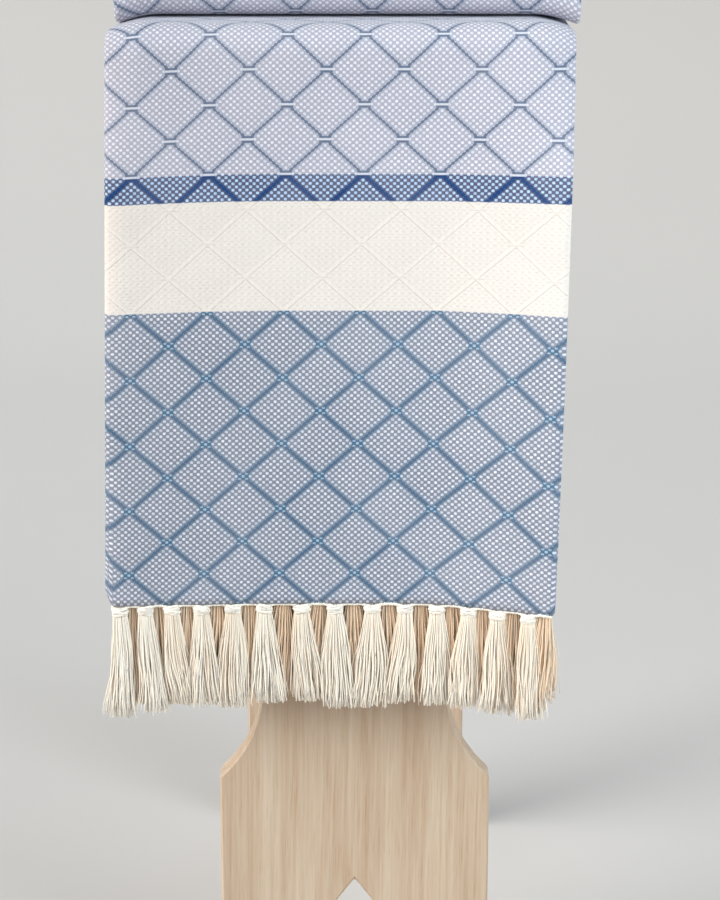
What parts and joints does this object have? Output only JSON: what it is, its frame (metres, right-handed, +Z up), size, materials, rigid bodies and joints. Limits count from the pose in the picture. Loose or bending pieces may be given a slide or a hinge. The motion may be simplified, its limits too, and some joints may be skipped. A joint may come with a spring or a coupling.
{
  "type": "folded diamond-weave throw blanket on a wooden plank stool",
  "caption": "Folded cotton throw with a diamond lattice, wide bands and knotted fringe, laid back and forth on a plank-leg stool with one end hanging down the front.",
  "frame": {"origin": "on the floor under the middle of the whole thing, stool and blanket together", "axes": "+Z up, -Y the side where the long end of the blanket hangs, +X to the right as seen from there"},
  "size_m": [0.3418, 0.4913, 0.7834],
  "materials": {
    "cloth": "matt woven cotton, lilac-grey and steel blue with a royal-blue and a cream band",
    "yarn": "matt cream cotton yarn",
    "wood": "pale oak with a satin oil finish"
  },
  "bodies": {
    "root": {"blanket": "cloth", "front_fringe": "yarn", "rear_fringe": "yarn", "seat": "wood", "front_leg": "wood", "rear_leg": "wood", "rail": "wood"}
  },
  "joints": []
}
